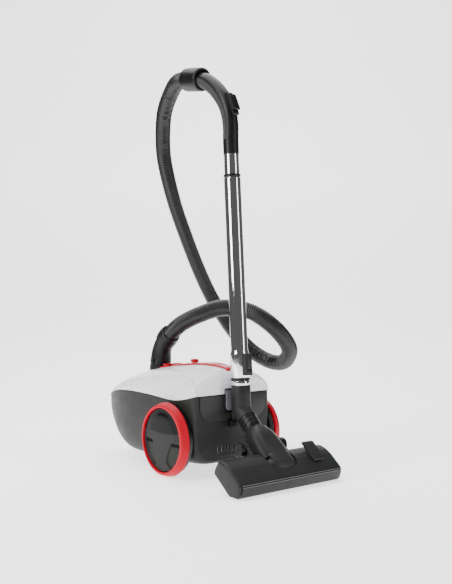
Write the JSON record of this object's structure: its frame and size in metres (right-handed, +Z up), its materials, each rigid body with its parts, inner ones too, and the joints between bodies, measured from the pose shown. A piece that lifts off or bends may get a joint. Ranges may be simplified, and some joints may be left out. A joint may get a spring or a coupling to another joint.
{
  "type": "canister vacuum cleaner",
  "caption": "Canister vacuum cleaner parked upright: dark and white body on large wheels, hose loop, chrome telescopic wand, floor head.",
  "frame": {"origin": "middle of the floor area under the whole parked cleaner without its hose, on the floor", "axes": "+Y towards the nose of the canister, +X to the right seen from behind it, +Z up"},
  "size_m": [0.4282, 0.6164, 0.8683],
  "materials": {
    "dark_shell": "fine-grained matt moulding",
    "black_parts": "satin black moulding",
    "white_shell": "glossy white moulding",
    "red_trim": "glossy red moulding",
    "red_tyre": "smooth red rubber",
    "wheel_cap": "piano black above, matt dark grey below",
    "latch_grey": "satin grey moulding",
    "chrome_tube": "polished chrome",
    "steel_parts": "turned steel",
    "hose": "black corrugated plastic",
    "bag_fleece": "soft fleece",
    "filter_felt": "white felt",
    "bristles": "black bristles",
    "grey_parts": "grey moulding"
  },
  "bodies": {
    "canister": {"lower_shell": "dark_shell", "upper_shell": "white_shell", "nose_cover": "white_shell", "front_strip": "red_trim", "inlet_collar": "black_parts", "inlet_duct": "grey_parts", "bag_tub": "dark_shell", "bag_holder": "grey_parts", "dust_bag": "bag_fleece", "motor_filter": "filter_felt", "motor_housing": "dark_shell", "motor_stator": "steel_parts", "cord_gland": "black_parts", "exhaust_cover": "dark_shell", "exhaust_filter": "filter_felt", "park_bracket": "black_parts", "axle_left": "steel_parts", "axle_right": "steel_parts", "caster_socket": "black_parts", "hose_lower": "hose", "hose_middle": "hose"},
    "wheel_left": {"tyre_left": "red_tyre", "hub_left": "black_parts", "cap_left": "wheel_cap"},
    "wheel_right": {"tyre_right": "red_tyre", "hub_right": "black_parts", "cap_right": "wheel_cap"},
    "caster": {"caster_fork": "black_parts"},
    "caster_roller": {"caster_wheel": "dark_shell"},
    "lid": {"rear_lid": "white_shell", "lid_spine": "red_trim"},
    "knob": {"flow_knob": "red_trim"},
    "latch": {"lid_latch": "latch_grey"},
    "power_key": {"power_button": "red_trim"},
    "rewind_key": {"rewind_button": "red_trim"},
    "fan": {"motor_rotor": "steel_parts"},
    "reel": {"cord_reel": "grey_parts"},
    "elbow": {"hose_elbow": "black_parts"},
    "elbow_key": {"elbow_button": "dark_shell"},
    "wand_lower": {"inner_tube": "chrome_tube", "neck_socket": "dark_shell", "hose_upper": "hose"},
    "wand_upper": {"outer_tube": "chrome_tube", "end_band": "black_parts", "tube_ring": "black_parts", "lock_housing": "black_parts", "handle_grip": "dark_shell"},
    "lock_key": {"lock_button": "dark_shell"},
    "slider": {"suction_slider": "black_parts"},
    "cuff": {"handle_cuff": "black_parts"},
    "neck": {"neck_collar": "black_parts", "neck_tongue": "dark_shell"},
    "floor_head": {"nozzle_housing": "dark_shell", "sole_plate": "black_parts", "bumper": "grey_parts"},
    "foot_pedal": {"pedal": "dark_shell"},
    "brush": {"brush_strip": "bristles"},
    "head_roller_left": {"head_wheel_left": "black_parts"},
    "head_roller_right": {"head_wheel_right": "black_parts"}
  },
  "joints": [
    {"name": "wheel_left_spin", "type": "hinge", "parent": "canister", "child": "wheel_left", "pos_m": [-0.118, -0.04116, 0.0752], "axis": [1, 0, 0], "continuous": true},
    {"name": "wheel_right_spin", "type": "hinge", "parent": "canister", "child": "wheel_right", "pos_m": [0.118, -0.04116, 0.0752], "axis": [1, 0, 0], "continuous": true},
    {"name": "caster_swivel", "type": "hinge", "parent": "canister", "child": "caster", "pos_m": [0, 0.15384, 0.045], "axis": [0, 0, 1], "continuous": true},
    {"name": "caster_spin", "type": "hinge", "parent": "caster", "child": "caster_roller", "pos_m": [0, 0.14184, 0.0165], "axis": [1, 0, 0], "continuous": true},
    {"name": "lid_hinge", "type": "hinge", "parent": "canister", "child": "lid", "pos_m": [0, 0.07684, 0.21], "axis": [-1, 0, 0], "range_deg": [0, 26]},
    {"name": "knob_turn", "type": "hinge", "parent": "lid", "child": "knob", "pos_m": [0, 0.01984, 0.225], "axis": [0, 0, 1], "range_deg": [0, 120]},
    {"name": "latch_press", "type": "slide", "parent": "canister", "child": "latch", "axis": [0, 0, -1], "range_m": [0, 0.004], "stiffness_N_per_m": 900},
    {"name": "power_press", "type": "slide", "parent": "canister", "child": "power_key", "axis": [0, 0, -1], "range_m": [0, 0.0015], "stiffness_N_per_m": 900},
    {"name": "rewind_press", "type": "slide", "parent": "canister", "child": "rewind_key", "axis": [0, 0, -1], "range_m": [0, 0.0015], "stiffness_N_per_m": 900},
    {"name": "fan_spin", "type": "hinge", "parent": "canister", "child": "fan", "pos_m": [0, 0.13084, 0.1015], "axis": [0, 1, 0], "continuous": true},
    {"name": "reel_spin", "type": "hinge", "parent": "canister", "child": "reel", "pos_m": [0, -0.01116, 0.048], "axis": [0, 0, 1], "continuous": true},
    {"name": "elbow_swivel", "type": "hinge", "parent": "canister", "child": "elbow", "pos_m": [0, 0.14884, 0.208], "axis": [0, 0, 1], "range_deg": [-35, 35], "deforming": ["hose_lower"]},
    {"name": "elbow_key_press", "type": "slide", "parent": "elbow", "child": "elbow_key", "axis": [1, 0, 0], "range_m": [0, 0.0016], "stiffness_N_per_m": 900},
    {"name": "wand_lift", "type": "slide", "parent": "canister", "child": "wand_lower", "axis": [0, 0, 1], "range_m": [0, 0.1], "deforming": ["hose_middle"]},
    {"name": "telescope", "type": "slide", "parent": "wand_lower", "child": "wand_upper", "axis": [0, 0.0642, 0.9979], "range_m": [0, 0.3], "deforming": ["hose_upper"]},
    {"name": "lock_press", "type": "slide", "parent": "wand_upper", "child": "lock_key", "axis": [0, -0.0642, -0.9979], "range_m": [0, 0.004], "stiffness_N_per_m": 900},
    {"name": "suction_slide", "type": "slide", "parent": "wand_upper", "child": "slider", "axis": [0, 0.4384, 0.8988], "range_m": [-0.007, 0.007]},
    {"name": "cuff_swivel", "type": "hinge", "parent": "wand_upper", "child": "cuff", "pos_m": [0, 0.01684, 0.8386], "axis": [0, 0.9848, 0.1736], "continuous": true},
    {"name": "neck_swivel", "type": "hinge", "parent": "wand_lower", "child": "neck", "pos_m": [0, -0.16566, 0.11], "axis": [0, 0.7071, 0.7071], "range_deg": [-25, 25]},
    {"name": "head_tilt", "type": "hinge", "parent": "neck", "child": "floor_head", "pos_m": [0, -0.25147, 0.03712], "axis": [-1, 0, 0], "range_deg": [0, 40]},
    {"name": "pedal_rock", "type": "hinge", "parent": "floor_head", "child": "foot_pedal", "pos_m": [0.085, -0.25745, 0.0583], "axis": [-1, 0, 0], "range_deg": [0, 7]},
    {"name": "brush_drop", "type": "slide", "parent": "floor_head", "child": "brush", "axis": [0, 0.6225, -0.7826], "range_m": [0, 0.004]},
    {"name": "head_roller_left_spin", "type": "hinge", "parent": "floor_head", "child": "head_roller_left", "pos_m": [-0.0542, -0.19736, 0.06789], "axis": [1, 0, 0], "continuous": true},
    {"name": "head_roller_right_spin", "type": "hinge", "parent": "floor_head", "child": "head_roller_right", "pos_m": [0.0542, -0.19736, 0.06789], "axis": [1, 0, 0], "continuous": true}
  ],
  "couplings": [
    {"joint": "brush_drop", "follows": "pedal_rock", "m_per_rad": 0.032577}
  ]
}
